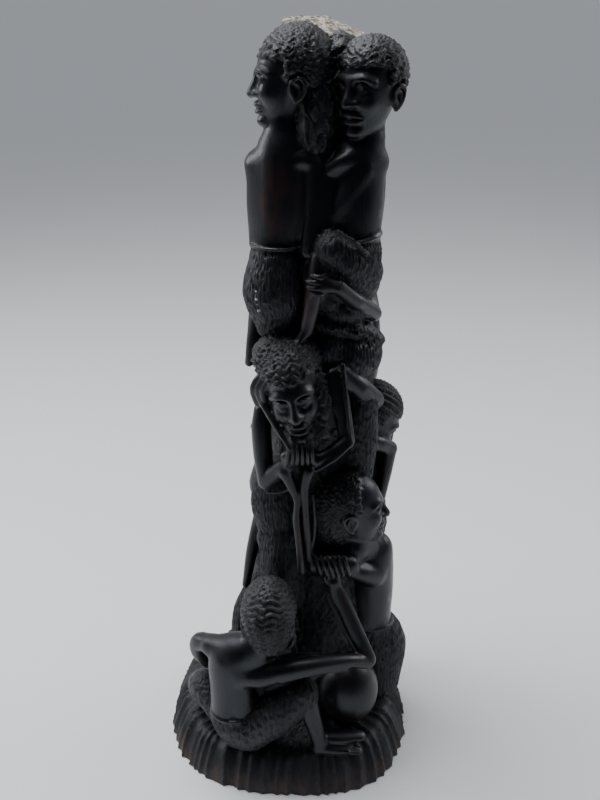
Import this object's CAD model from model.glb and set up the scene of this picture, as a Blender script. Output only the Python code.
import math

import bmesh
import bpy
import numpy as np
import openvdb
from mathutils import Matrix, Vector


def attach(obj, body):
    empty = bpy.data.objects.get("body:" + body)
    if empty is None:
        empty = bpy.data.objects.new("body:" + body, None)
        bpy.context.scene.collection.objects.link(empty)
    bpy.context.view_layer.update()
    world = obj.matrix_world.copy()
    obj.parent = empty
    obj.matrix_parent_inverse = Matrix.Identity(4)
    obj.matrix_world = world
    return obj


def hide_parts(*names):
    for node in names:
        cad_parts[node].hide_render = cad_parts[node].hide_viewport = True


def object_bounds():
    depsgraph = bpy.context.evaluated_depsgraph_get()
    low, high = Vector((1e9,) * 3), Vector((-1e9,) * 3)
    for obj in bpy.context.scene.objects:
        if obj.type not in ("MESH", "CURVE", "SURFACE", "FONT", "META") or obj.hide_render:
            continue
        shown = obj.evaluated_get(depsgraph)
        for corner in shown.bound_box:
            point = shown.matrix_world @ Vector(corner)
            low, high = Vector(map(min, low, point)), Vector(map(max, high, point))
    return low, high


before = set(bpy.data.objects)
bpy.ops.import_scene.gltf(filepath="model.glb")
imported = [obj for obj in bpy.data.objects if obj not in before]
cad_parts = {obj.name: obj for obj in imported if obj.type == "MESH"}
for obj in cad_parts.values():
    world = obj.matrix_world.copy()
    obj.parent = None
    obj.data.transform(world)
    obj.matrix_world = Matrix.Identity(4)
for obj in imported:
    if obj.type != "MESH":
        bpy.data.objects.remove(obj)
cad_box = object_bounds()

# The camera stands a little above the carving's top, as in the photograph, and looks down on it
# from in front. Its lens and tilt were worked out from the waist lines and the base's outline.
LENS = 45
FILM_WIDTH = 36
LOOKS_DOWN = 22
camera = bpy.data.objects.new("camera", bpy.data.cameras.new("camera"))
camera.data.lens = LENS
camera.data.sensor_width = FILM_WIDTH
camera.data.clip_start = 0.05
camera.location = (0.0097, -0.690, 0.563)
camera.rotation_euler = (math.radians(90 - LOOKS_DOWN), 0, 0)
bpy.context.scene.collection.objects.link(camera)
bpy.context.scene.camera = camera


# The block: the whole carving is worked out as distances to its surface, in millimetres, at points
# a fixed step apart. Every form is laid on, or cut away, the way a carver leaves it standing, and the
# block keeps which kind of surface each point belongs to, its zone.
STEP = 0.8
FAR = 8.0
SKIN, GROUND, HAIR, TOP, BASE, FIRST_CLOTH, FIRST_HEAD = 0, 1, 2, 3, 4, 10, 100


class Wood:
    """A block of wood, as the distance to its carved surface at each point, below zero inside."""

    def __init__(self, low, high, step=STEP):
        self.step = step
        self.low = np.floor(np.array(low) / step) * step
        self.count = np.ceil((np.array(high) - self.low) / step).astype(int) + 1
        self.ticks = [(self.low[i] + step * np.arange(self.count[i])).astype(np.float32) for i in range(3)]
        self.depth = np.full(self.count, FAR, np.float32)
        self.zone = np.zeros(self.count, np.uint8)

    def near(self, low, high):
        first = np.clip(np.floor((np.array(low) - self.low) / self.step).astype(int), 0, self.count)
        last = np.clip(np.ceil((np.array(high) - self.low) / self.step).astype(int) + 1, 0, self.count)
        where = tuple(slice(a, b) for a, b in zip(first, last))
        x, y, z = (ticks[part] for ticks, part in zip(self.ticks, where))
        return where, (x[:, None, None], y[None, :, None], z[None, None, :])

    def lay_on(self, where, depth, zone, blend):
        here = self.depth[where]
        marks = self.zone[where]
        marks[depth < here] = zone if np.isscalar(zone) else zone[depth < here]
        overlap = np.maximum(blend - np.abs(here - depth), 0) / blend
        self.depth[where] = np.minimum(here, depth) - overlap * overlap * blend * 0.25

    def cut_away(self, where, depth, zone, blend):
        here = self.depth[where]
        if zone != SKIN:
            self.zone[where][-depth > here] = zone
        overlap = np.maximum(blend - np.abs(here + depth), 0) / blend
        self.depth[where] = np.maximum(here, -depth) + overlap * overlap * blend * 0.25

    def carve(self, where, depth, zone, blend, cut):
        if cut:
            self.cut_away(where, depth, zone, blend)
        else:
            self.lay_on(where, depth, zone, blend)

    def join(self, form, blend):
        offset = np.round((form.low - self.low) / self.step).astype(int)
        first = np.maximum(offset, 0)
        last = np.minimum(offset + form.count, self.count)
        where = tuple(slice(a, b) for a, b in zip(first, last))
        part = tuple(slice(a - o, b - o) for a, b, o in zip(first, last, offset))
        self.lay_on(where, form.depth[part], form.zone[part], blend)


box_low, box_high = (np.array(corner) * 1000 for corner in cad_box)
block = Wood(box_low - 2.4, box_high + 2.4)


# The log: one trunk of dark hardwood. Between the figures it is left as rough ground, chopped with a
# narrow gouge, and its own sawn end stands up bare and weathered behind the heads.
LOG_X, LOG_Y = 26, 4


def smooth_path(path, radii, parts):
    """Points and radii along a smooth curve through the path's points."""
    points = np.array(path, float)
    radii = np.array(radii, float)
    before = np.vstack([2 * points[0] - points[1], points, 2 * points[-1] - points[-2]])
    route, sizes = [points[0]], [radii[0]]
    for i in range(len(points) - 1):
        p0, p1, p2, p3 = before[i : i + 4]
        for k in range(1, parts + 1):
            t = k / parts
            bend = 2 * p1 + (p2 - p0) * t + (2 * p0 - 5 * p1 + 4 * p2 - p3) * t**2
            route.append((bend + (3 * p1 - p0 - 3 * p2 + p3) * t**3) / 2)
            ease = t * t * (3 - 2 * t) * 0.5 + t * 0.5
            sizes.append(radii[i] + (radii[i + 1] - radii[i]) * ease)
    return np.array(route), np.array(sizes)


def limb_depth(place, route, sizes, flat, face):
    """Distance to a chain of round cones, squeezed to `flat` of their width along `face`."""
    x, y, z = place
    nearest = None
    for a, b, ra, rb in zip(route[:-1], route[1:], sizes[:-1], sizes[1:]):
        along = b - a
        length = max(float(along @ along), 1e-6)
        dx, dy, dz = x - np.float32(a[0]), y - np.float32(a[1]), z - np.float32(a[2])
        t = np.clip((dx * np.float32(along[0]) + dy * np.float32(along[1]) + dz * np.float32(along[2]))
                    / np.float32(length), 0, 1)
        dx, dy, dz = (d - t * np.float32(s) for d, s in zip((dx, dy, dz), along))
        square = dx * dx + dy * dy + dz * dz
        if flat != 1:
            side = np.array(face, float) - along * (np.array(face, float) @ along) / length
            side /= max(np.linalg.norm(side), 1e-6)
            across = dx * np.float32(side[0]) + dy * np.float32(side[1]) + dz * np.float32(side[2])
            square = square + across * across * np.float32(1 / flat**2 - 1)
        depth = np.sqrt(square) - (np.float32(ra) + t * np.float32(rb - ra))
        nearest = depth if nearest is None else np.minimum(nearest, depth)
    return nearest


TOWARDS, AWAY, UP = (0, -1, 0), (0, 1, 0), (0, 0, 1)


def limb(wood, path, radii, zone=SKIN, flat=1.0, face=TOWARDS, blend=3.0, parts=4, cut=False):
    route, sizes = smooth_path(path, radii, parts)
    reach = sizes[:, None] + blend + 2 * wood.step
    where, place = wood.near((route - reach).min(0), (route + reach).max(0))
    depth = limb_depth(place, route, sizes, flat, face)
    wood.carve(where, depth, zone, blend, cut)


limb(block, [(LOG_X, LOG_Y, z) for z in (20, 110, 260, 400, 505)], [44, 41, 38, 36, 34], zone=GROUND,
     parts=2)
limb(block, [(22, -10, 180), (23, -12, 110), (23, -10, 40)], [30, 32, 38], zone=GROUND, blend=8, parts=2)
limb(block, [(22, -24, 470), (24, -26, 440), (23, -20, 380)], [14, 16, 20], zone=SKIN, blend=6)


def sawn_end():
    """The log's own end, sloping down to the front and to the right, with a ragged edge."""
    where, (x, y, z) = block.near((-16, -34, 478), (68, 52, 554))
    around = np.arctan2(y - 12, x - 30)
    wobble = 1.6 * np.sin(around * 7) + 1.2 * np.sin(around * 13 + 1)
    side = np.sqrt((x - 30) ** 2 + (y - 12) ** 2) - 31 + wobble + (z * 0)
    rightward = np.maximum(x - LOG_X, 0)
    forward = np.maximum(14 - y, 0)
    chips = 0.9 * np.sin(x * 0.5) * np.cos(y * 0.43)
    top = z - (550.5 - rightward * 0.4 - forward * 0.26 - chips)
    block.lay_on(where, np.maximum(np.maximum(side, top), 480 - z), TOP, 2.0)


sawn_end()


# The base: a low mound left at the foot of the log. A wide gouge has cut hollow flutes down its side
# and over the rim, so that sharp ridges stand between them and the edge is ragged.
FLUTES = 62
FLUTE_DEPTH = 3.8
BASE_HEIGHT = 33
base_half = (box_high - box_low)[:2] / 2


def scatter(*cells):
    """A repeatable number between 0 and 1 for each cell."""
    mix = sum(cell * weight for cell, weight in zip(cells, (12.9898, 78.233, 37.719)))
    return np.modf(np.abs(np.sin(mix) * 43758.5453))[0]


def ball_depth(place, at, radii):
    """Distance to an egg-shaped ball with a radius along each axis."""
    own = [p - np.float32(c) for p, c in zip(place, at)]
    near = np.sqrt(sum((o / np.float32(r)) ** 2 for o, r in zip(own, radii)))
    steep = np.sqrt(sum((o / np.float32(r * r)) ** 2 for o, r in zip(own, radii)))
    return near * (near - 1) / np.maximum(steep, 1e-4)


def ball(wood, at, radii, zone=SKIN, blend=3.0, cut=False):
    reach = max(radii) + blend + 2 * wood.step
    where, place = wood.near(np.array(at) - reach, np.array(at) + reach)
    wood.carve(where, ball_depth(place, at, radii), zone, blend, cut)


def base_outline(angle):
    squareness = 2.35
    cosine = np.abs(np.cos(angle)) / base_half[0]
    sine = np.abs(np.sin(angle)) / (base_half[1] - 0.4)
    outline = (cosine**squareness + sine**squareness) ** (-1 / squareness)
    return outline * (1 + 0.055 * np.exp(-(((angle + math.radians(53)) / 0.42) ** 2)))


def fluted_base():
    where, (x, y, z) = block.near((-101, -103, -3), (101, 103, 48))
    radius = np.sqrt(x * x + y * y)
    angle = np.arctan2(y, x)
    outline = base_outline(angle)
    share = np.clip(radius / outline, 0, 1.2)
    sway = 0.34 * np.sin(angle * 5) + 0.24 * np.sin(angle * 11 + 1) + 0.2 * np.sin(angle * 17 + 2)
    lean = 0.016 * (z - 15) * np.sin(angle * 2 + 0.5)
    turnwise = angle * FLUTES / (2 * np.pi) + sway + lean
    flute = np.round(turnwise)
    across = np.abs(turnwise - flute) * 2
    strength = (0.65 + 0.6 * scatter(flute, 3)) * (1 - 0.35 * np.clip(-y / 90, 0, 1))
    hollow = (1 - across**2.1) * FLUTE_DEPTH * strength * np.clip((share - 0.35) / 0.4, 0, 1)
    hollow = hollow * (1 - 0.35 * np.clip((share - 0.86) / 0.14, 0, 1))
    height = BASE_HEIGHT * (1 - 0.2 * np.maximum(-y / 100, 0))
    slope = 0.125 * np.clip(z / height, 0, 1) ** 1.5
    nibble = 1.6 * scatter(flute, 5) + 1.2 * scatter(np.floor(turnwise * 2), 8)
    side = (radius - outline * (1 - slope) + nibble) * 0.95 + hollow
    top = z - (height + 4 * (1 - share)) + hollow * 0.7
    overlap = np.maximum(6 - np.abs(side - top), 0) / 6
    depth = np.maximum(side, top) + overlap * overlap * 6 * 0.25
    block.lay_on(where, np.maximum(depth, -z).astype(np.float32), BASE, 1.0)


fluted_base()
ball(block, (2, -66, 40), (27, 22, 18), zone=GROUND, blend=3, cut=True)


# The heads: cut in the round to one calm pattern, with the hair standing thick above the brow and
# behind the ears. Each is shaped once on its own axes, X the way it looks, and then set into the group.
HEAD_STEP = 0.6
HEAD_HEIGHT = 58
HAIR_AT = (-3, 0, 8.5)
HAIR_RADII = (24.2, 21.8, 22.6)
HEAD_REACH = 46
HEAD_BLEND = 1.5
heads = []


def ear(wood, side):
    ball(wood, (-3, side * 18, -5), (5.2, 2.2, 7.6), blend=1.5)
    rim = [(0.5, 19, -1), (-3, 20.6, 2.2), (-7.4, 21.2, 0.4), (-8, 20.6, -5), (-5.6, 19.6, -10),
           (-2.4, 18.8, -12.4)]
    limb(wood, [(x, side * y, z) for x, y, z in rim], [1.1, 1.3, 1.4, 1.3, 1.4, 1.6], blend=0.9)
    ball(wood, (-3.2, side * 20.6, -4.6), (2.6, 1.6, 4.2), blend=1, cut=True)
    limb(wood, [(-1.6, side * 19.8, -0.6), (-5, side * 20.4, -2.4), (-5, side * 20, -7)],
         [0.8, 0.9, 0.8], blend=0.7)
    ball(wood, (0.4, side * 18.8, -5.4), (1.4, 1.4, 1.8), blend=0.8)


def head_pattern(beard=False, brow=12.5, temple=4):
    wood = Wood((-34, -30, -42), (38, 30, 38), HEAD_STEP)
    ball(wood, (-2, 0, 7), (23.5, 18.5, 21.5), blend=2)
    ball(wood, (4, 0, -8), (17.5, 15.5, 20), blend=8)
    limb(wood, [(5, 0, -20), (14, 0, -25)], [9, 5.5], blend=7)
    for side in (1, -1):
        ball(wood, (14.5, side * 9, -7), (6, 5.5, 7), blend=5)
        limb(wood, [(21, side * 3, 5), (19.5, side * 9, 6), (15, side * 14, 4)], [2.2, 2.4, 1.6], blend=3)
        ball(wood, (21.5, side * 8, 0.5), (4.5, 5.8, 3.9), blend=2.5, cut=True)
        ball(wood, (17.4, side * 7.8, 0.2), (3.5, 4.7, 3.3), blend=0.8)
        limb(wood, [(19.6, side * 3.4, 0.6), (21.2, side * 7.6, 2.8), (18.2, side * 12.2, 0.4)],
             [0.9, 1.1, 0.8], blend=0.6)
        limb(wood, [(19.5, side * 3.6, -0.6), (20.5, side * 7.6, -2.6), (18, side * 12, -0.4)],
             [0.8, 0.9, 0.7], blend=0.6)
        ball(wood, (22, side * 3.8, -8.6), (3.2, 2.5, 2.4), blend=1.2)
        ball(wood, (23.6, side * 2.6, -10.6), (1.6, 1.1, 1.2), blend=0.8, cut=True)
        ear(wood, side)
    limb(wood, [(20.5, 0, 5), (23, 0, -2), (25.4, 0, -8.4)], [2.3, 2.4, 3.2], blend=2.2)
    limb(wood, [(17.2, -7.6, -17.4), (21.6, -3, -15), (21.8, 0, -15.5), (21.6, 3, -15), (17.2, 7.6, -17.4)],
         [1.2, 2.1, 2.0, 2.1, 1.2], blend=0.9)
    limb(wood, [(17.2, -7, -18.2), (20.8, -3, -19.6), (20.8, 3, -19.6), (17.2, 7, -18.2)],
         [1.2, 2.2, 2.2, 1.2], blend=0.9)
    limb(wood, [(18, -7.6, -17.7), (23.2, 0, -17.4), (18, 7.6, -17.7)], [0.5, 0.6, 0.5], blend=0.5,
         cut=True)
    limb(wood, [(20.6, -4, -22.4), (20.6, 4, -22.4)], [1.0, 1.0], blend=2, cut=True)
    ball(wood, (17.5, 0, -25.5), (4.6, 5.5, 3.8), blend=2.5)
    where, place = wood.near((-34, -30, -26), (28, 30, 38))
    depth = ball_depth(place, HAIR_AT, HAIR_RADII)
    x, y, z = place
    above_brow = brow - z + 0.10 * np.abs(y) + 0.7 * np.sin(y * 1.1)
    behind_temple = x - temple + 0.7 * np.sin(z * 1.2)
    overlap = np.maximum(5 - np.abs(above_brow - behind_temple), 0) / 5
    hairline = np.minimum(above_brow, behind_temple) - overlap * overlap * 5 * 0.25
    nape = -(z + 20 + 0.15 * x)
    round_ear = 9 - np.sqrt((x + 3) ** 2 + ((z + 5) * 0.85) ** 2 + 0 * y)
    depth = np.maximum(np.maximum(depth, hairline), np.maximum(nape, round_ear))
    wood.lay_on(where, depth.astype(np.float32), HAIR, 0.6)
    if beard:
        for strand in range(-6, 7):
            bend = strand / 6
            start = (18 - 4 * bend**2, strand * 1.9, -21 + 3 * bend**2)
            limb(wood, [start, (20 - 4 * bend**2, strand * 1.6, -28), (16, strand * 1.3, -37)],
                 [1.3, 1.4, 0.9], zone=HAIR, blend=0.5)
    return wood


def turn(yaw=0, pitch=0, roll=0):
    """Rotation by yaw about Z, then pitch about its own Y, then roll about its own X, in degrees."""
    a, b, c = (math.radians(v) for v in (yaw, pitch, roll))
    about_z = np.array([[math.cos(a), -math.sin(a), 0], [math.sin(a), math.cos(a), 0], [0, 0, 1]])
    about_y = np.array([[math.cos(b), 0, math.sin(b)], [0, 1, 0], [-math.sin(b), 0, math.cos(b)]])
    about_x = np.array([[1, 0, 0], [0, math.cos(c), -math.sin(c)], [0, math.sin(c), math.cos(c)]])
    return about_z @ about_y @ about_x


def own_axes(place, at, rotation):
    x, y, z = (p - np.float32(c) for p, c in zip(place, at))
    r = rotation.astype(np.float32)
    return [x * r[0, i] + y * r[1, i] + z * r[2, i] for i in range(3)]


def between(field, position):
    """The field's values at places between its points, told in steps from its first point."""
    cell = [p.astype(int) for p in position]
    part = [p - c for p, c in zip(position, cell)]
    value = 0
    for i in (0, 1):
        for j in (0, 1):
            for k in (0, 1):
                share = (part[0] if i else 1 - part[0]) * (part[1] if j else 1 - part[1])
                share = share * (part[2] if k else 1 - part[2])
                value = value + share * field[cell[0] + i, cell[1] + j, cell[2] + k]
    return value


def set_head(group, pattern, at, yaw, pitch=0, roll=0, height=HEAD_HEIGHT, width=1.0, hair="curls"):
    """Lays a head's pattern into a group, turned and scaled to its height from crown to chin."""
    scale = height / HEAD_HEIGHT
    heads.append((np.array(at, float), turn(yaw, pitch, roll), scale, hair))
    reach = HEAD_REACH * scale
    where, place = group.near(np.array(at) - reach, np.array(at) + reach)
    own = own_axes(place, at, turn(yaw, pitch, roll))
    stretch = (scale, scale * width, scale)
    position = [(o / np.float32(s) - np.float32(low)) / np.float32(pattern.step)
                for o, s, low in zip(own, stretch, pattern.low)]
    inside = np.ones(position[0].shape, bool)
    for p, count in zip(position, pattern.count):
        inside &= (p >= 0) & (p < count - 1.001)
    spots = [p[inside] for p in position]
    depth = np.full(inside.shape, FAR, np.float32)
    depth[inside] = between(pattern.depth, spots) * min(stretch)
    zone = np.zeros(inside.shape, np.uint8)
    zone[inside] = pattern.zone[tuple(np.round(s).astype(int) for s in spots)]
    zone[zone == HAIR] = FIRST_HEAD + len(heads) - 1
    group.lay_on(where, depth, zone, HEAD_BLEND)


plain_head = head_pattern()
bearded_head = head_pattern(beard=True)
high_browed_head = head_pattern(brow=34, temple=5)


# Upper left: a man seen from behind who looks to the left, with a cloth round his hips. His hair falls
# to the shoulder and runs into his neighbour's, and his arms hang close along his sides.
BAND = 1.15
cloth_axes = []


def cloth_zone(x, y):
    """A new zone of wrapped cloth, whose gouge strokes run down round the vertical axis at x, y."""
    cloth_axes.append((x, y))
    return FIRST_CLOTH + len(cloth_axes) - 1


def waist_band(group, at, radii, rise=0.0):
    """The thin raised edge of a cloth round a waist, an upright oval ring that rises to the right."""
    x, y, z = at
    around = np.linspace(0, 2 * np.pi, 25)
    ring = [(x + radii[0] * math.cos(a), y + radii[1] * math.sin(a),
             z + rise * math.cos(a)) for a in around]
    limb(group, ring, [BAND] * len(ring), blend=1.0, parts=1)


def fingers(group, wrist, tips, spread, width, curl=(0, 0, 0)):
    """A hand with four fingers side by side along `spread`, from its wrist to its fingers' tips."""
    wrist, tips, spread = (np.array(v, float) for v in (wrist, tips, spread))
    spread /= np.linalg.norm(spread)
    knuckles = wrist + (tips - wrist) * 0.42
    limb(group, [wrist, knuckles], [width * 0.32, width * 0.42], flat=0.7,
         face=np.cross(spread, tips - wrist), blend=1.5)
    thick = width * 0.13
    for finger in range(4):
        place = finger / 3 - 0.5
        length = 1 - 0.45 * abs(place - 0.05) ** 1.5
        root = knuckles + spread * place * width * 0.8
        tip = wrist + (tips - wrist) * length + spread * place * width * 0.8 * 1.08
        middle = (root + tip) / 2 + np.array(curl)
        limb(group, [root, middle, tip], [thick * 1.05, thick, thick * 0.8], blend=0.5)


man = Wood((-42, -62, 312), (44, 12, 552))
limb(man, [(2, -24, 496), (1, -25, 481), (0, -25, 464), (-1, -25, 436), (-4, -24, 407)],
     [13.5, 14.5, 20, 20.5, 18.5], flat=0.86, blend=4)
limb(man, [(-16, -21, 461), (0, -25, 463), (14, -26, 462)], [8.6, 9, 9], blend=4)
limb(man, [(-18, -22, 460), (-18.5, -22, 434), (-17, -20, 410)], [7, 6.6, 6], blend=9)
limb(man, [(1, -37, 463), (10, -38.5, 466), (18, -37, 463), (19, -37, 449), (18.5, -38, 430),
           (15, -39, 406)],
     [4, 5, 6, 6.2, 6, 5], flat=0.8, blend=3)
limb(man, [(6.5, -46, 452), (8.5, -46.5, 432), (8, -46, 410)], [1.2, 1.6, 1.4], blend=3, cut=True)
limb(man, [(-3, -44, 468), (-5, -46.6, 440), (-6, -45.4, 410)], [1.3, 1.9, 1.6], blend=5, cut=True)
his_cloth = cloth_zone(-6, -22)
limb(man, [(-5, -24, 396), (-7, -25, 376), (-6, -22, 353)], [20.4, 23.0, 16], zone=his_cloth, blend=1.0)
waist_band(man, (-4.5, -24.5, 408), (19.0, 18.0))
limb(man, [(20, -20, 514), (20, -27, 494), (18, -30, 478)], [17, 15, 12], zone=FIRST_HEAD, blend=3)
limb(man, [(35, -15, 528), (33, -18, 494)], [14, 13], zone=FIRST_HEAD, blend=3)
set_head(man, plain_head, (4, -24, 514), 182, height=58)
ball(man, (9, -22, 530), (20, 17.5, 18), zone=FIRST_HEAD, blend=3)
limb(man, [(-20, -4, 352), (-23, -9, 336), (-27, -11, 318)], [7, 5.5, 3.2], blend=2)
block.join(man, 1.0)


# Upper right: a figure that looks to the front left, one covered knee drawn up, the bare shin held by
# a hand that comes round from the back, and the foot set on the head below.
youth = Wood((-12, -64, 300), (92, 30, 552))
limb(youth, [(53, -24, 492), (50, -25, 474), (46, -24, 462), (45, -25, 436), (46, -24, 407)],
     [11.5, 15, 20, 20, 18], flat=0.88, blend=5)
limb(youth, [(31, -29, 459), (46, -26, 465), (59, -21, 462)], [8.5, 9.5, 9], blend=5)
limb(youth, [(26, -36.5, 457), (35, -38.5, 464), (46, -37, 468), (57, -29, 466)], [4.2, 4.8, 4.6, 4.4],
     blend=3.5)
limb(youth, [(58, -19, 461), (60, -19, 438), (57, -18, 410)], [8.0, 6.6, 6.2], blend=3)
limb(youth, [(52, -38, 460), (42, -40, 446), (30, -38, 429)], [3.2, 3.2, 2.6], blend=6)
her_cloth = cloth_zone(52, -22)
limb(youth, [(46, -23, 402), (47, -22, 388)], [19.8, 17.5], zone=her_cloth, blend=1.0)
waist_band(youth, (46, -24, 412), (18.4, 17.8), rise=3.5)
thigh_cloth = cloth_zone(42, -30)
limb(youth, [(52, -21, 388), (43, -34, 398), (31, -41, 409)], [15, 14.5, 12.5], zone=thigh_cloth, blend=1.2)
limb(youth, [(50, -20, 378), (38, -31, 384), (26, -37, 393)], [13, 12.5, 12], zone=thigh_cloth, blend=2)
limb(youth, [(46, -16, 364), (30, -27, 372)], [13, 12], zone=thigh_cloth, blend=3)
limb(youth, [(34, -51, 422), (47, -48, 413), (59, -36, 398)], [1.6, 1.7, 1.6], zone=thigh_cloth, blend=1.5)
limb(youth, [(23, -42, 402), (20, -43, 386), (17, -42, 367), (14, -39, 351)], [6.6, 6.4, 5.4, 4.8],
     blend=1.2)
limb(youth, [(14, -39, 351), (9, -40, 345), (1, -41, 341)], [4.8, 4.6, 3.2], flat=0.75, face=UP, blend=2)
set_head(youth, plain_head, (54, -24, 509), -128, height=59)
limb(youth, [(50, 2, 398), (56, -8, 372), (60, -15, 357)], [8.5, 7.2, 6.2], blend=2, parts=1)
limb(youth, [(60, -17, 357), (47, -36, 371), (34, -49, 384)], [7.2, 6.8, 5.6], flat=0.8,
     face=(-0.4, -0.5, 1), blend=1.5, parts=1)
limb(youth, [(62, -21, 361), (48, -40.5, 376), (37, -51, 388)], [1.6, 1.6, 1.4], blend=1.5, parts=1)
fingers(youth, (35, -49, 385), (14, -50.5, 387), (0.1, 0, 1), 14, curl=(0, -2.5, 0))
lap_cloth = cloth_zone(44, -13)
ball(youth, (40, -22, 362), (20, 15, 11), zone=lap_cloth, blend=3)
ball(youth, (43, -13, 327), (26, 25.5, 24), zone=lap_cloth, blend=1.5)
ball(youth, (30, -24, 334), (15, 16, 16), zone=lap_cloth, blend=3)
limb(youth, [(28, -20, 352), (44, -16, 348), (58, -10, 340)], [18, 20, 14], flat=0.45, face=UP,
     zone=lap_cloth, blend=3)
for line in range(3):
    drop = 3 * line
    limb(youth, [(26, -38.5 - line, 354 - drop), (43, -37 - line, 350 - drop),
                 (56, -28 - line, 345 - drop)],
         [0.8, 0.8, 0.6], blend=1.5, cut=True)
block.join(youth, 1.0)


# Upper back: two more figures stand behind the first two, plainer, their backs to the log and their
# arms crossed before them.
for x, yaw, reach in ((47, 42, 1), (2, 132, -1)):
    group = Wood((x - 44, -20, 300), (x + 44, 66, 552))
    cloth = cloth_zone(x, 24)
    limb(group, [(x + 2, 25, 488), (x, 25, 472), (x, 25, 460), (x, 26, 434), (x - 1, 25, 406)],
         [11, 15, 20.5, 19.5, 17.5], flat=0.9, face=AWAY, blend=5)
    limb(group, [(x - 15, 24, 458), (x, 28, 462), (x + 15, 24, 458)], [9, 9, 9], blend=6)
    limb(group, [(x + reach * 12, 20, 456), (x + reach * 13, 30, 425), (x - reach * 24, 45, 420)],
         [7.5, 7, 5.5], blend=2)
    hem = (x, 22, 354) if reach > 0 else (x - 10, 12, 354)
    limb(group, [(x, 24, 400), (x + (2 if reach > 0 else -8), 20, 376), hem], [20, 20.5, 16], zone=cloth,
         blend=1)
    waist_band(group, (x, 25, 405), (18.5, 17.5))
    set_head(group, plain_head, (x + 3.5, 26.5, 508), yaw, height=57)
    block.join(group, 1.2)


# Middle front: an old man with a long face and thick hair, his chin in the hand of one bent arm, while
# another hand holds his temple. Two thin arms reach up to his beard from far below.
elder = Wood((-48, -76, 128), (66, 16, 372))
set_head(elder, bearded_head, (5, -39, 309), -90, 8, 12, height=66, width=0.9)
ball(elder, (1, -33, 330), (24.5, 20, 17.5), zone=FIRST_HEAD + len(heads) - 1, blend=3)
limb(elder, [(19, -42, 318), (25, -47, 298), (26, -51, 280)], [8, 7, 5],
     zone=FIRST_HEAD + len(heads) - 1, blend=1)
ball(elder, (17, -51, 320), (3.5, 3, 5.5), blend=1)
limb(elder, [(10, -34, 278), (8, -36, 252)], [13, 14], zone=GROUND, blend=2)
limb(elder, [(-17, -33, 290), (-18, -34, 276), (-17, -35, 256), (-15, -37, 237)], [6.2, 7.2, 7.0, 6.2],
     blend=1.5)
limb(elder, [(-14, -39, 236), (-5, -45, 248), (4, -51, 259)], [6.2, 6.6, 6.4], blend=2.0, parts=1)
for knuckle in range(3):
    inward = knuckle * 3.6
    limb(elder, [(-20 + inward, -42 - inward * 0.9, 299 + inward * 0.3),
                 (-23 + inward, -43 - inward * 0.9, 310),
                 (-18 + inward, -45 - inward * 0.9, 320), (-12 + inward * 0.6, -47 - inward * 0.6, 318)],
         [2.6, 2.4, 2.2, 1.8], blend=0.8)
limb(elder, [(-16, -48, 301), (-7, -57, 288), (3, -63, 273)], [2.6, 2.4, 1.6], blend=1.5, parts=1)
limb(elder, [(34, -40, 318), (38, -43, 299), (43, -46, 273)], [7.2, 7.0, 5.6], flat=0.6,
     face=(0.3, -1, 0), blend=1.5, parts=1)
limb(elder, [(39, -44, 328), (42, -49, 300), (45, -51, 273)], [1.7, 1.6, 1.6], blend=1.0, parts=1)
limb(elder, [(43, -47, 272), (32, -51, 265), (21, -54, 260)], [5.4, 4.8, 4.6], blend=1.5, parts=1)
limb(elder, [(46, -51, 272), (34, -56, 262), (21, -57, 254)], [1.7, 1.7, 1.7], blend=0.8, parts=1)
limb(elder, [(21, -53, 262), (10, -54, 264), (0, -53.5, 263)], [4.4, 4.6, 4.4], blend=1.5)
for finger in range(6):
    x = 0.5 + finger * 3.7
    limb(elder, [(x, -57.6, 259), (x + (10 - x) * 0.06, -60, 266), (x + (10 - x) * 0.12, -60.4, 274)],
         [1.5, 1.35, 1.0], blend=0.2)
limb(elder, [(11, -52, 169), (9, -51.5, 190), (7, -50.5, 211), (7.5, -50.5, 226), (3, -51, 240),
             (-1, -51, 250)],
     [3.0, 2.5, 2.8, 2.4, 3.6, 5.0], blend=1.0)
limb(elder, [(16, -49, 178), (14, -50, 211), (13.5, -50, 224), (13, -50, 238), (16, -51, 251)],
     [2.8, 2.8, 3.0, 4.0, 4.6], blend=1.0)
limb(elder, [(18, -48, 179), (20.5, -48, 205), (19, -48, 230)], [1.2, 1.3, 1.2], blend=0.8)
upper_cloth = cloth_zone(-4, -20)
limb(elder, [(-5, -22, 228), (-6, -22, 212), (-5, -22, 200)], [20, 21.5, 20], zone=upper_cloth, blend=1.2)
limb(elder, [(-14, -42, 229), (-5, -46, 231), (4, -49, 236)], [1.1, 1.3, 1.2], blend=0.8)
lower_cloth = cloth_zone(-1, -20)
limb(elder, [(-2, -24, 180), (-2, -25, 160), (-1, -27, 136)], [19.5, 20.5, 20], zone=lower_cloth, blend=1.2)
limb(elder, [(-14, -30, 184), (-6, -34, 185), (5, -36, 186)], [9, 11, 10], zone=lower_cloth, blend=4)
limb(elder, [(-19, -13, 204), (-22, -18, 190), (-27, -21, 169), (-32, -24, 140)], [5, 5.2, 4.6, 3.2],
     blend=1.2)
limb(elder, [(-21, -37, 192), (-24.5, -38, 170), (-26, -39, 146)], [1.2, 2.0, 2.2], blend=1.5, cut=True)
block.join(elder, 1.0)


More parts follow.
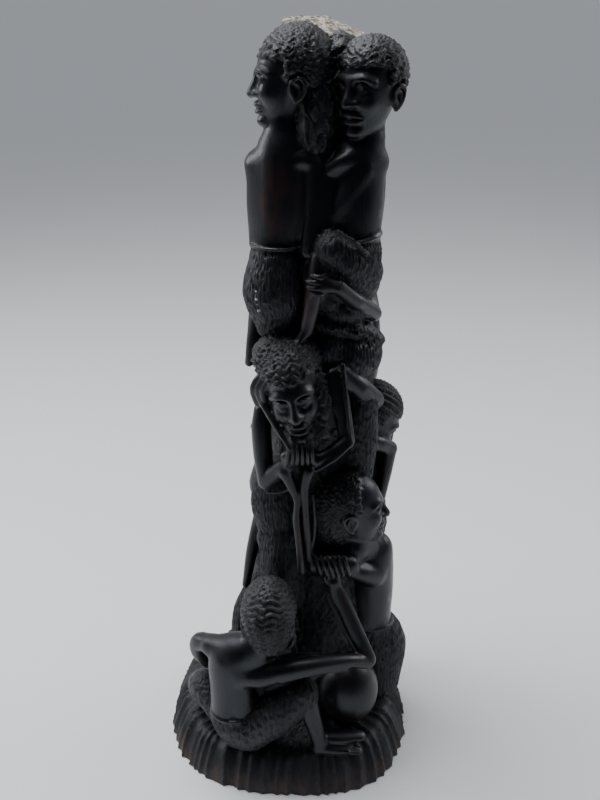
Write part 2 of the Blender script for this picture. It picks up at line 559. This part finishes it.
# Middle right: a bent arm over a small head with plaited hair that turns away, and a second bent arm
# beneath it.
child = Wood((28, -54, 176), (101, 44, 336))
limb(child, [(38, -36, 320), (51, -30, 306), (64, -18, 292)], [7.4, 8.2, 6.8], blend=1.5, parts=1)
set_head(child, plain_head, (63, 3, 269), 12, 34, 0, height=53, hair="plaits")
limb(child, [(54, -22, 292), (54, -21, 262), (52, -22, 236)], [12, 13, 12], zone=cloth_zone(52, -8),
     blend=2)
limb(child, [(54, -22, 262), (68, -15, 256), (77, -7, 248)], [6.6, 6.2, 5.4], blend=1.5, parts=1)
limb(child, [(77, -7, 248), (74, -8, 230), (70, -9, 208)], [5.6, 5.4, 5.0], blend=1.5, parts=1)
child_cloth = cloth_zone(60, 6)
limb(child, [(60, 8, 262), (57, 4, 240), (57, 2, 190)], [11, 16, 15.5], zone=child_cloth, blend=2)
block.join(child, 1.0)


# Middle back and the two sides: more figures to fill the round, plainer, chins in hands and in long
# cloths, as the side that shows has them.
back = Wood((-34, -6, 136), (84, 76, 330))
limb(back, [(24, 36, 268), (23, 34, 254), (22, 30, 242), (21, 32, 222), (20, 32, 200)],
     [10, 14, 20, 18.5, 17.5], flat=0.88, face=AWAY, blend=5)
set_head(back, plain_head, (24, 40, 292), 96, 8, 0, height=60, hair="plaits")
for side in (-1, 1):
    limb(back, [(22 + side * 19, 30, 240), (22 + side * 29, 38, 222), (23 + side * 20, 47, 208)],
         [7, 7, 6.4], blend=2.5)
    limb(back, [(23 + side * 20, 47, 208), (23 + side * 10, 51, 246)], [6.2, 5], blend=2)
    fingers(back, (23 + side * 9, 52, 248), (23 + side * 12, 56, 270), (1, 0, 0), 12)
limb(back, [(20, 31, 194), (20, 32, 172), (20, 32, 152)], [21.5, 24.5, 20], zone=cloth_zone(20, 30),
     blend=1)
waist_band(back, (20, 32, 199), (19, 17))
block.join(back, 1.0)

side_figure = Wood((-54, -26, 20), (30, 62, 306))
limb(side_figure, [(-4, 14, 242), (-6, 14, 230), (-7, 13, 182)], [10, 17.5, 15], blend=5)
set_head(side_figure, plain_head, (-3, 14, 262), 165, height=54)
limb(side_figure, [(-18, 20, 226), (-24, 27, 198), (-6, 38, 182)], [7, 6.5, 5], blend=2)
limb(side_figure, [(-8, 13, 174), (-9, 12, 145), (-10, 12, 60), (-8, 12, 28)], [17.5, 20, 21.5, 20],
     zone=cloth_zone(-6, 14), blend=1)
waist_band(side_figure, (-8, 13, 181), (16, 16))
limb(side_figure, [(-12, 0, 146), (-23, -5, 128), (-32, -8, 107), (-34, -8, 88), (-36, -8, 62)],
     [8, 10, 11.5, 12, 13.5], zone=cloth_zone(-22, 0), blend=2)
block.join(side_figure, 1.0)

bundle = Wood((36, 10, 20), (92, 66, 356))
limb(bundle, [(62, 26, 200), (62, 28, 168), (60, 30, 140)], [15, 18.5, 15], zone=cloth_zone(58, 26),
     blend=2)
limb(bundle, [(58, 34, 336), (60, 32, 306), (56, 38, 262)], [12, 11, 8], blend=2)
limb(bundle, [(62, 30, 130), (66, 32, 88), (68, 36, 30)], [13.5, 11, 9], blend=2)
block.join(bundle, 1.0)


# Lower right: a seated figure that looks away, one hand laid on its neighbour, and a long cloth that
# runs down to the base.
sitter = Wood((0, -76, 16), (100, 34, 262))
limb(sitter, [(55, -28, 188), (59, -22, 171), (63, -16, 158), (64, -14, 134), (65, -12, 102)],
     [10, 13, 19.0, 19.0, 17], blend=5)
ball(sitter, (70, -17, 166), (11.5, 12, 15), blend=2)
limb(sitter, [(62, -31, 176), (61, -33, 160), (64, -33, 146)], [1.2, 1.5, 1.2], blend=2, cut=True)
set_head(sitter, high_browed_head, (48.5, -31, 212), 3, -4, 0, height=57)
ball(sitter, (35, -33, 208), (17, 14.5, 28), zone=FIRST_HEAD + len(heads) - 1, blend=4)
ball(sitter, (50, -32, 178), (12, 12, 14), blend=4)
limb(sitter, [(66, -30, 152), (58, -37, 158), (48, -43, 164)], [8.5, 7.5, 6.0], blend=4.0)
limb(sitter, [(46, -45, 169), (36, -46.5, 172), (24, -47, 171)], [8.0, 8.4, 7.6], flat=0.75, blend=2)
for finger in range(6):
    x = 25 + finger * 4.2
    limb(sitter, [(x, -51.4, 165), (x - 1.5, -53.8, 173), (x - 4, -52.6, 182)], [1.5, 1.6, 1.2], blend=0.4)
limb(sitter, [(22, -46, 164), (18.5, -49, 171), (19, -49, 180)], [3.4, 3.6, 2.4], blend=1)
sitter_cloth = cloth_zone(68, -6)
limb(sitter, [(66, -9, 95), (72, -4, 72), (70, -4, 40)], [19.0, 24.5, 22.5], zone=sitter_cloth, blend=1)
waist_band(sitter, (66, -11, 100), (17.8, 17.8))
block.join(sitter, 1.0)


# Lower left front: a seated figure seen from behind, one long arm bent round a smooth gourd, one
# covered knee up and the bare foot on the base.
seated = Wood((-98, -102, 14), (82, 4, 192))
limb(seated, [(-16, -74, 124), (-27, -73, 114), (-39, -70, 104), (-40, -71, 82), (-40, -72, 60)],
     [12, 15, 19, 18, 17.5], flat=0.95, blend=5)
limb(seated, [(-20, -74, 112), (-42, -70, 114), (-56, -64, 112)], [9.5, 9.5, 8.5], blend=4)
limb(seated, [(-54, -64, 112), (-66, -54, 108), (-68, -48, 96), (-62, -42, 82)], [7.6, 7.2, 6.5, 6],
     blend=2)
limb(seated, [(-34, -80, 98), (-20, -80, 98), (-2, -82, 103), (20, -80, 106), (44, -71, 103),
              (60, -61, 95)],
     [9, 10.5, 8.2, 6.4, 5.6, 5.6], blend=4)
limb(seated, [(-4, -88.5, 98), (18, -85, 101.5), (44, -75.5, 98.5)], [1.2, 1.4, 1.2], blend=2)
limb(seated, [(61, -60, 96), (49, -54, 121), (36, -48, 152)], [6.4, 7.2, 6.2], flat=0.8, blend=1.5, parts=1)
limb(seated, [(54, -65, 101), (42, -60, 123), (31, -53, 148)], [1.3, 1.5, 1.3], blend=1.2, parts=1)
limb(seated, [(65, -60, 100), (55, -55, 121), (43, -49, 150)], [1.3, 1.5, 1.3], blend=1.2, parts=1)
fingers(seated, (36, -49, 150), (32, -51, 166), (1, 0, 0.1), 12)
limb(seated, [(-35, -91, 92), (-41, -91, 78), (-40, -90, 64)], [1.4, 1.9, 1.6], blend=4, cut=True)
seat_cloth = cloth_zone(-38, -66)
limb(seated, [(-38, -71, 53), (-35, -69, 45)], [20.2, 20.2], zone=seat_cloth, blend=1)
thigh_cloth = cloth_zone(-4, -56)
limb(seated, [(-28, -74, 46), (-8, -76, 62), (9, -74, 76)], [19, 18, 15], zone=thigh_cloth, blend=3)
limb(seated, [(-20, -66, 84), (2, -66, 92), (20, -62, 92)], [12, 12, 10], zone=thigh_cloth, blend=3)
waist_band(seated, (-40, -72, 61), (18, 17.2))
limb(seated, [(14, -77, 73), (19, -79, 56), (25, -80, 33)], [8.6, 6.8, 5.4], blend=1.2)
limb(seated, [(24, -80, 30), (38, -80, 28.5), (54, -80, 27)], [5.8, 5.2, 3.8], flat=0.8, face=UP, blend=2)
for toe in range(4):
    limb(seated, [(48, -84 + toe * 2.6, 28.5), (56 - toe, -84 + toe * 2.8, 28)], [1.7, 1.5], blend=0.6)
limb(seated, [(-46, -60, 48), (-62, -47, 60), (-67, -36, 54)], [15, 13.5, 13], zone=seat_cloth, blend=2)
limb(seated, [(26, -74, 36), (42, -74, 35), (55, -72, 34)], [7, 7, 5.5], flat=0.7, face=UP, blend=3)
set_head(seated, plain_head, (-13, -70, 139), 84, 12, 0, height=60, width=0.86, hair="waves")
ball(seated, (-13, -74, 138), (16.5, 17, 24), zone=FIRST_HEAD + len(heads) - 1, blend=4)
limb(seated, [(2, -76, 131), (5, -75, 129), (5, -75, 123), (2.5, -76, 119)], [1.6, 2.0, 2.0, 1.6], blend=1)
ball(seated, (47.5, -44, 58), (23.5, 24, 29.5), blend=1)
block.join(seated, 1.0)


# Lower back: a seated figure, knees drawn up and arms folded on them, plainer than the front.
folded = Wood((-34, 10, 14), (74, 98, 186))
limb(folded, [(20, 46, 116), (20, 44, 104), (20, 42, 90), (20, 46, 44)], [10, 15, 25, 27], flat=0.9,
     face=AWAY, blend=5)
set_head(folded, plain_head, (20, 50, 138), 100, 14, 0, height=58)
for side in (-1, 1):
    limb(folded, [(20 + side * 22, 40, 94), (20 + side * 34, 52, 72), (20 + side * 14, 74, 72 + side)],
         [8.5, 7.5, 6.6], blend=2.5)
    limb(folded, [(20 + side * 28, 46, 42), (20 + side * 24, 70, 64)], [17, 13.5],
         zone=cloth_zone(20 + side * 26, 56), blend=2)
    limb(folded, [(20 + side * 24, 71, 64), (20 + side * 26, 79, 30)], [10, 7], blend=2)
block.join(folded, 1.0)


# The surface: the block is cut out as one skin, and then the small tool marks are put on it. Cloth has
# long gouge strokes, ground has short chips, hair has locks, and skin is scraped smooth and waxed.


def surface_of(wood):
    grid = openvdb.FloatGrid(FAR)
    grid.copyFromArray(np.clip(wood.depth, -FAR, FAR))
    points, triangles, quads = grid.convertToPolygons(0.0, 0.0)
    return points * wood.step + wood.low, triangles, quads


def read_block(field, points):
    """The field's values between the block's points."""
    position = np.clip((points - block.low) / block.step, 0, np.array(block.count) - 1.001)
    return between(field, position.T)


def outward(points, span=1.2):
    ahead, behind = ([read_block(block.depth, points + way * axis * span) for axis in np.eye(3)]
                     for way in (1, -1))
    slope = np.stack(ahead, 1) - np.stack(behind, 1)
    return slope / np.maximum(np.linalg.norm(slope, axis=1, keepdims=True), 1e-6)


def zone_at(points):
    cell = np.round((points - block.low) / block.step).astype(int)
    cell = np.clip(cell, 0, np.array(block.count) - 1)
    return block.zone[cell[:, 0], cell[:, 1], cell[:, 2]]


STROKE_WIDTH, STROKE_LENGTH, STROKE_DEPTH = 2.5, 7.0, 0.95
CLOTH_RADIUS = 21


def stroke_relief(points, axis):
    """Gouge strokes one above the other in upright rows, each deepest in its middle."""
    around = np.arctan2(points[:, 1] - axis[1], points[:, 0] - axis[0]) * CLOTH_RADIUS
    turns = around / STROKE_WIDTH + 0.3 * np.sin(points[:, 2] * 0.12)
    column = np.floor(turns)
    across = turns - column - 0.5
    along = points[:, 2] / STROKE_LENGTH + scatter(column, 1)
    row = np.floor(along)
    part = along - row
    hollow = 1 - 4 * across**2
    fade = np.clip(part * 6, 0, 1) * np.clip((1 - part) * 2.5, 0, 1)
    return -STROKE_DEPTH * hollow * (0.2 + 0.8 * fade) * (0.6 + 0.8 * scatter(column, row))


def unevenness(x, y, z, size):
    """Smooth uneven values between 0 and 1 that change over about `size` millimetres."""
    corner = [np.floor(v / size) for v in (x, y, z)]
    part = [v / size - c for v, c in zip((x, y, z), corner)]
    part = [f * f * (3 - 2 * f) for f in part]
    total = 0
    for i in (0, 1):
        for j in (0, 1):
            for k in (0, 1):
                share = 1
                for f, bit in zip(part, (i, j, k)):
                    share = share * (f if bit else 1 - f)
                total = total + share * scatter(corner[0] + i, corner[1] + j, corner[2] + k)
    return total


def hair_relief(points, head):
    """Locks that stand out from the hair, by the way it is worn, laid out up and round the head."""
    at, rotation, scale, worn = head
    own = (points - at) @ rotation / scale - HAIR_AT
    size = np.linalg.norm(own, axis=1) + 1e-3
    x, y, z = own.T
    up = np.arcsin(np.clip(z / size, -1, 1)) * 24
    around = np.arctan2(y, x) * 20
    if worn == "plaits":
        across = np.arctan2(y, z) * 22 / 5.4
        ridge = 1 - np.abs(across - np.round(across)) * 2
        along = np.arctan2(np.hypot(y, z), x) * 22
        return 2.8 * np.sqrt(ridge) - 1.6 + 0.25 * np.sin(along * 1.9)
    drift = unevenness(x + 60, y + 60, z + 60, 9.0)
    if worn == "waves":
        row = up / 4.6 + 0.26 * np.sin(around / 1.7 + 3 * drift) + 0.8 * drift
        ridge = 1 - np.abs(row - np.floor(row) - 0.5) * 2
        return 2.5 * ridge**0.8 - 1.2 + 0.4 * unevenness(x + 60, y + 60, z + 60, 2.6)
    row = up / 3.9 + 1.5 * drift + 0.42 * np.sin(around / 1.35 + 4 * drift)
    ridge = 1 - np.abs(row - np.floor(row) - 0.5) * 2
    lock = 0.5 + 0.5 * np.sin(around / 0.95 + 6.3 * scatter(np.floor(row), 2))
    return 2.4 * ridge**0.8 * (0.45 + 0.55 * lock) - 0.8


CHIP = (3.4, 3.4, 5.6)
CHIP_DEPTH = 1.5


def chip_relief(points):
    """Short overlapping hollows left by a small gouge."""
    scaled = points / np.array(CHIP)
    corner = np.floor(scaled)
    nearest = np.full(len(points), 9.0)
    for i in (-1, 0, 1):
        for j in (-1, 0, 1):
            for k in (-1, 0, 1):
                cell = corner + (i, j, k)
                spot = [scatter(cell[:, 0] + s, cell[:, 1] + 7 * s, cell[:, 2] - s) for s in (1, 2, 3)]
                nearest = np.minimum(nearest, ((scaled - cell - np.stack(spot, 1)) ** 2).sum(1))
    return -CHIP_DEPTH * (1 - np.clip(nearest / 0.5, 0, 1))


def tool_marks(points, zones):
    relief = np.zeros(len(points))
    for i, axis in enumerate(cloth_axes):
        here = zones == FIRST_CLOTH + i
        relief[here] = stroke_relief(points[here], axis)
    for i, head in enumerate(heads):
        here = zones == FIRST_HEAD + i
        relief[here] = hair_relief(points[here], head) * head[2]
    rough = (zones == GROUND) | (zones == TOP)
    relief[rough] = chip_relief(points[rough])
    base = zones == BASE
    relief[base] = -0.5 * unevenness(*(points[base] * (1, 1, 0.4)).T, 3.5)
    return relief


UNDER_SKIN = 0.4
WITHIN_BOX = 0.02
points, triangles, quads = surface_of(block)
normals = outward(points)
zones = zone_at(points - normals * UNDER_SKIN)
points = points + normals * tool_marks(points, zones)[:, None]
points = np.clip(points, box_low + WITHIN_BOX, box_high - WITHIN_BOX)

mesh = bpy.data.meshes.new("carved_figures")
faces = np.concatenate([triangles.ravel(), quads.ravel()]).astype(np.int32)
starts = [np.arange(len(triangles)) * 3, len(triangles) * 3 + np.arange(len(quads)) * 4]
starts = np.concatenate(starts).astype(np.int32)
mesh.vertices.add(len(points))
mesh.vertices.foreach_set("co", (points * 0.001).astype(np.float32).ravel())
mesh.loops.add(len(faces))
mesh.loops.foreach_set("vertex_index", faces)
mesh.polygons.add(len(starts))
mesh.polygons.foreach_set("loop_start", starts)
mesh.update(calc_edges=True)
mesh.validate()
carving = bpy.data.objects.new("carved_figures", mesh)
bpy.context.scene.collection.objects.link(carving)

MOST_TRIANGLES = 198000
triangles_now = len(triangles) + 2 * len(quads)
if triangles_now > MOST_TRIANGLES:
    thin = carving.modifiers.new("thin out", "DECIMATE")
    thin.ratio = MOST_TRIANGLES / triangles_now
    bpy.context.view_layer.objects.active = carving
    bpy.ops.object.modifier_apply(modifier=thin.name)
mesh = carving.data


def drop_specks(mesh):
    """Keeps the one skin that hangs together, and drops the specks and bubbles left beside it."""
    ends = np.empty(len(mesh.edges) * 2, np.int32)
    mesh.edges.foreach_get("vertices", ends)
    ends = ends.reshape(-1, 2)
    skin = np.arange(len(mesh.vertices))
    settled = False
    while not settled:
        lowest = skin[ends].min(1)
        joined = skin.copy()
        np.minimum.at(joined, ends[:, 0], lowest)
        np.minimum.at(joined, ends[:, 1], lowest)
        joined = joined[joined]
        settled = (joined == skin).all()
        skin = joined
    whole = np.bincount(skin).argmax()
    shape = bmesh.new()
    shape.from_mesh(mesh)
    loose = [vertex for vertex, part in zip(shape.verts, skin) if part != whole]
    bmesh.ops.delete(shape, geom=loose, context="VERTS")
    shape.to_mesh(mesh)
    shape.free()


drop_specks(mesh)
mesh.polygons.foreach_set("use_smooth", np.ones(len(mesh.polygons), bool))

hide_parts("carved_figure_group")
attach(carving, "root")


# The wood: a near-black hardwood, waxed on the smooth parts, with warmer brown where the polish has
# worn through, grey dust in the cuts, and its sawn end left bare and pale.
def wood_near(size):
    """The share of wood within about `size` mm of each point, on a grid twice as coarse."""
    even = [slice(0, count // 2 * 2) for count in block.count]
    solid = (block.depth[tuple(even)] < 0).astype(np.float32)
    for axis in range(3):
        halves = [slice(None)] * 3
        halves[axis] = slice(0, None, 2)
        others = list(halves)
        others[axis] = slice(1, None, 2)
        solid = (solid[tuple(halves)] + solid[tuple(others)]) / 2
    reach = max(1, int(round(size / (2 * block.step))))
    for axis in (0, 1, 2) * 2:
        ends = [(0, 0)] * 3
        ends[axis] = (reach + 1, reach)
        total = np.cumsum(np.pad(solid, ends, mode="edge"), axis=axis, dtype=np.float64)
        ahead = [slice(None)] * 3
        behind = [slice(None)] * 3
        ahead[axis] = slice(2 * reach + 1, None)
        behind[axis] = slice(0, -(2 * reach + 1))
        solid = ((total[tuple(ahead)] - total[tuple(behind)]) / (2 * reach + 1)).astype(np.float32)
    return solid


def read_coarse(field, points):
    position = (points - block.low) / (2 * block.step) - 0.25
    return between(field, np.clip(position, 0, np.array(field.shape) - 1.001).T)


def mark(name, values):
    layer = mesh.attributes.new(name, "FLOAT", "POINT")
    layer.data.foreach_set("value", np.asarray(values, np.float32))


spots = np.empty(len(mesh.vertices) * 3, np.float32)
mesh.vertices.foreach_get("co", spots)
spots = spots.reshape(-1, 3).astype(float) * 1000
facing = outward(spots)
zones = zone_at(spots - facing * UNDER_SKIN)
close = read_coarse(wood_near(2.4), spots)
wide = read_coarse(wood_near(8), spots)
mark("hollow", np.clip((close - 0.5) * 4 + (wide - 0.5) * 2.2, 0, 1))
mark("worn", np.clip((0.47 - close) * 5, 0, 1))
mark("relief", np.clip(0.5 + tool_marks(spots, zones) / 2, 0, 1))
mark("smooth", (zones == SKIN) * 1.0)
mark("cloth", ((zones >= FIRST_CLOTH) & (zones < FIRST_HEAD)) * 1.0)
mark("hair", (zones >= FIRST_HEAD) * 1.0)
mark("ground", ((zones == GROUND) | (zones == TOP)) * 1.0)
mark("bare", (zones == TOP) * np.clip(facing[:, 2] * 2.5 - 1, 0, 1))
foot = (zones == BASE) * np.clip((17 - spots[:, 2]) / 12, 0, 1)
mark("foot", foot * np.clip(-spots[:, 1] / 60, 0.2, 1))
warm_places = (
    (-12, -44, 440, 9, 16), (2, -46, 444, 8, 9), (-8, -45, 424, 7, 8), (60, -60, 96, 10, 8),
    (60, -46, 56, 12, 20), (16, -44, 372, 7, 16), (82, 6, 282, 10, 16), (68, -28, 500, 8, 8),
    (10, -50, 200, 5, 22), (38, -46, 150, 8, 8),
)
warm = 0
for x, y, z, wide_by, high_by in warm_places:
    off = (spots - (x, y, z)) / (wide_by, wide_by, high_by)
    warm = np.maximum(warm, np.exp(-(off**2).sum(1)))
mark("warm", warm)

wood_look = bpy.data.materials.new("dark hardwood")
wood_look.use_nodes = True
carving.data.materials.append(wood_look)
nodes, links = wood_look.node_tree.nodes, wood_look.node_tree.links
shader = nodes["Principled BSDF"]
shader.inputs["Specular IOR Level"].default_value = 0.5
shader.inputs["Specular Tint"].default_value = (0.86, 0.92, 1.0, 1)
where_on_wood = nodes.new("ShaderNodeTexCoord").outputs["Object"]


def grain(scale, stretch, detail=4.0, roughness=0.55):
    """Noise in metres, drawn out by `stretch` along the log."""
    lay = nodes.new("ShaderNodeMapping")
    lay.inputs["Scale"].default_value = (scale, scale, scale / stretch)
    links.new(where_on_wood, lay.inputs["Vector"])
    noise = nodes.new("ShaderNodeTexNoise")
    noise.inputs["Scale"].default_value = 1.0
    noise.inputs["Detail"].default_value = detail
    noise.inputs["Roughness"].default_value = roughness
    links.new(lay.outputs["Vector"], noise.inputs["Vector"])
    return noise.outputs["Fac"]


def made(name):
    node = nodes.new("ShaderNodeAttribute")
    node.attribute_name = name
    return node.outputs["Fac"]


def ranged(value, low, high, to_low=0.0, to_high=1.0):
    node = nodes.new("ShaderNodeMapRange")
    links.new(value, node.inputs["Value"])
    for key, number in (("From Min", low), ("From Max", high), ("To Min", to_low), ("To Max", to_high)):
        node.inputs[key].default_value = number
    return node.outputs["Result"]


def combined(operation, one, other):
    node = nodes.new("ShaderNodeMath")
    node.operation = operation
    links.new(one, node.inputs[0])
    if isinstance(other, (int, float)):
        node.inputs[1].default_value = other
    else:
        links.new(other, node.inputs[1])
    return node.outputs["Value"]


def times(one, other):
    return combined("MULTIPLY", one, other)


def plus(one, other):
    return combined("ADD", one, other)


def tinted(share, under, over):
    """A colour that goes from `under` to `over` as the share rises."""
    node = nodes.new("ShaderNodeMix")
    node.data_type = "RGBA"
    links.new(share, node.inputs["Factor"])
    for socket, colour in (("A", under), ("B", over)):
        target = [s for s in node.inputs if s.name == socket and s.type == "RGBA"][0]
        if isinstance(colour, tuple):
            target.default_value = (*colour, 1)
        else:
            links.new(colour, target)
    return [s for s in node.outputs if s.type == "RGBA"][0]


NEAR_BLACK, LIT_GRAIN = (0.0024, 0.0026, 0.0046), (0.0080, 0.0072, 0.0094)
WAXED_BROWN, WORN_RED = (0.0100, 0.0066, 0.0072), (0.060, 0.020, 0.011)
TOOLED_GREY, RUBBED_EDGE = (0.034, 0.030, 0.031), (0.050, 0.042, 0.038)
DARK_CUT, FOOT_BROWN = (0.0030, 0.0027, 0.0030), (0.060, 0.036, 0.024)
BARE_SHADE, BARE_PALE = (0.10, 0.080, 0.062), (0.46, 0.42, 0.35)
NICK_WHITE = (0.75, 0.74, 0.70)
streaks = grain(900, 14)
clouds = grain(26, 3, detail=3)
specks = grain(2200, 2.5, detail=2)
strokes = ranged(grain(520, 4.5, detail=1), 0.35, 0.65)
locks = ranged(grain(420, 1, detail=2), 0.35, 0.65)
tooled = ranged(made("relief"), 0.1, 0.75)
colour = tinted(ranged(streaks, 0.35, 0.68), NEAR_BLACK, LIT_GRAIN)
colour = tinted(times(ranged(clouds, 0.50, 0.70), made("smooth")), colour, WAXED_BROWN)
colour = tinted(times(made("warm"), ranged(grain(150, 2.5), 0.38, 0.62)), colour, WORN_RED)
rough_parts = ranged(made("smooth"), 0, 1, 1, 0)
colour = tinted(times(times(rough_parts, tooled), ranged(strokes, 0, 1, 0.1, 0.7)), colour, TOOLED_GREY)
colour = tinted(times(made("worn"), ranged(grain(420, 3), 0.40, 0.66, 0, 0.55)), colour, RUBBED_EDGE)
colour = tinted(times(made("hollow"), 0.85), colour, DARK_CUT)
colour = tinted(times(made("foot"), ranged(grain(120, 4), 0.40, 0.62, 0.1, 0.9)), colour, FOOT_BROWN)
bare_wood = tinted(ranged(grain(420, 1, detail=5), 0.36, 0.60), BARE_SHADE, BARE_PALE)
colour = tinted(times(made("bare"), ranged(grain(90, 1.2), 0.30, 0.46)), colour, bare_wood)
nicks = ((-20, 380, 0.8), (-19.8, 374.5, 1.1), (-19.4, 370.5, 0.9), (-18.2, 366, 1.2), (35, 320, 1.0))
for x, z, size in nicks:
    beside = np.hypot(spots[:, 0] - x, spots[:, 2] - z) < 1.2
    nick = nodes.new("ShaderNodeVectorMath")
    nick.operation = "DISTANCE"
    nick.inputs[1].default_value = (x / 1000, spots[beside, 1].min() / 1000, z / 1000)
    links.new(where_on_wood, nick.inputs[0])
    spot = ranged(nick.outputs["Value"], size * 0.0005, size * 0.0012, 1, 0)
    colour = tinted(spot, colour, NICK_WHITE)
links.new(colour, shader.inputs["Base Color"])

polish = plus(ranged(made("smooth"), 0, 1, 0.50, 0.33), ranged(clouds, 0.3, 0.7, -0.06, 0.08))
polish = plus(polish, times(made("bare"), 0.3))
polish = plus(polish, ranged(specks, 0.3, 0.7, -0.03, 0.05))
links.new(polish, shader.inputs["Roughness"])

height = plus(times(streaks, 0.5), times(specks, 0.2))
height = plus(height, times(times(made("cloth"), strokes), 1.6))
height = plus(height, times(times(made("hair"), locks), 1.2))
height = plus(height, times(times(made("ground"), locks), 1.8))
fine = nodes.new("ShaderNodeBump")
fine.inputs["Distance"].default_value = 0.0005
fine.inputs["Strength"].default_value = 0.6
links.new(height, fine.inputs["Height"])
links.new(fine.outputs["Normal"], shader.inputs["Normal"])


# The floor and the light: a plain pale floor that darkens in front, where the reflections of the
# standing figures come from, one wide soft light from above and a little behind, and pale surroundings.
FLOOR_DARK, FLOOR_PALE = (0.02, 0.024, 0.040), (0.80, 0.81, 0.83)
ROOM_DARK, ROOM_PALE = (0.016, 0.021, 0.040), (0.92, 0.95, 1.0)
floor_mesh = bpy.data.meshes.new("floor")
floor_mesh.from_pydata([(-300, -300, 0), (300, -300, 0), (300, 600, 0), (-300, 600, 0)], [], [(0, 1, 2, 3)])
floor = bpy.data.objects.new("floor", floor_mesh)
bpy.context.scene.collection.objects.link(floor)
floor_look = bpy.data.materials.new("pale floor")
floor_look.use_nodes = True
nodes, links = floor_look.node_tree.nodes, floor_look.node_tree.links
nodes["Principled BSDF"].inputs["Roughness"].default_value = 0.7
across_floor = nodes.new("ShaderNodeSeparateXYZ")
links.new(nodes.new("ShaderNodeTexCoord").outputs["Object"], across_floor.inputs["Vector"])
floor_tone = tinted(ranged(across_floor.outputs["Y"], -0.75, -0.35), FLOOR_DARK, FLOOR_PALE)
links.new(floor_tone, nodes["Principled BSDF"].inputs["Base Color"])
floor_mesh.materials.append(floor_look)

surroundings = bpy.data.worlds.new("pale surroundings")
bpy.context.scene.world = surroundings
surroundings.use_nodes = True
nodes, links = surroundings.node_tree.nodes, surroundings.node_tree.links
direction = nodes.new("ShaderNodeSeparateXYZ")
links.new(nodes.new("ShaderNodeTexCoord").outputs["Generated"], direction.inputs["Vector"])
sky = tinted(ranged(direction.outputs["Y"], -0.60, 0.25), ROOM_DARK, ROOM_PALE)
links.new(sky, nodes["Background"].inputs["Color"])
nodes["Background"].inputs["Strength"].default_value = 0.62

for name, at, size, power in (
    ("soft light above", (-0.30, 0.10, 1.45), 0.8, 20),
    ("side light", (-1.3, 0.35, 0.8), 0.6, 8),
    ("other side light", (1.3, 0.5, 0.9), 0.6, 6),
):
    lamp = bpy.data.lights.new(name, "AREA")
    lamp.size = size
    lamp.energy = power
    stand = bpy.data.objects.new(name, lamp)
    stand.location = at
    aim = np.array((0, 0, 0.28)) - np.array(at)
    stand.rotation_euler = (math.atan2(math.hypot(aim[0], aim[1]), -aim[2]), 0, math.atan2(-aim[0], aim[1]))
    bpy.context.scene.collection.objects.link(stand)
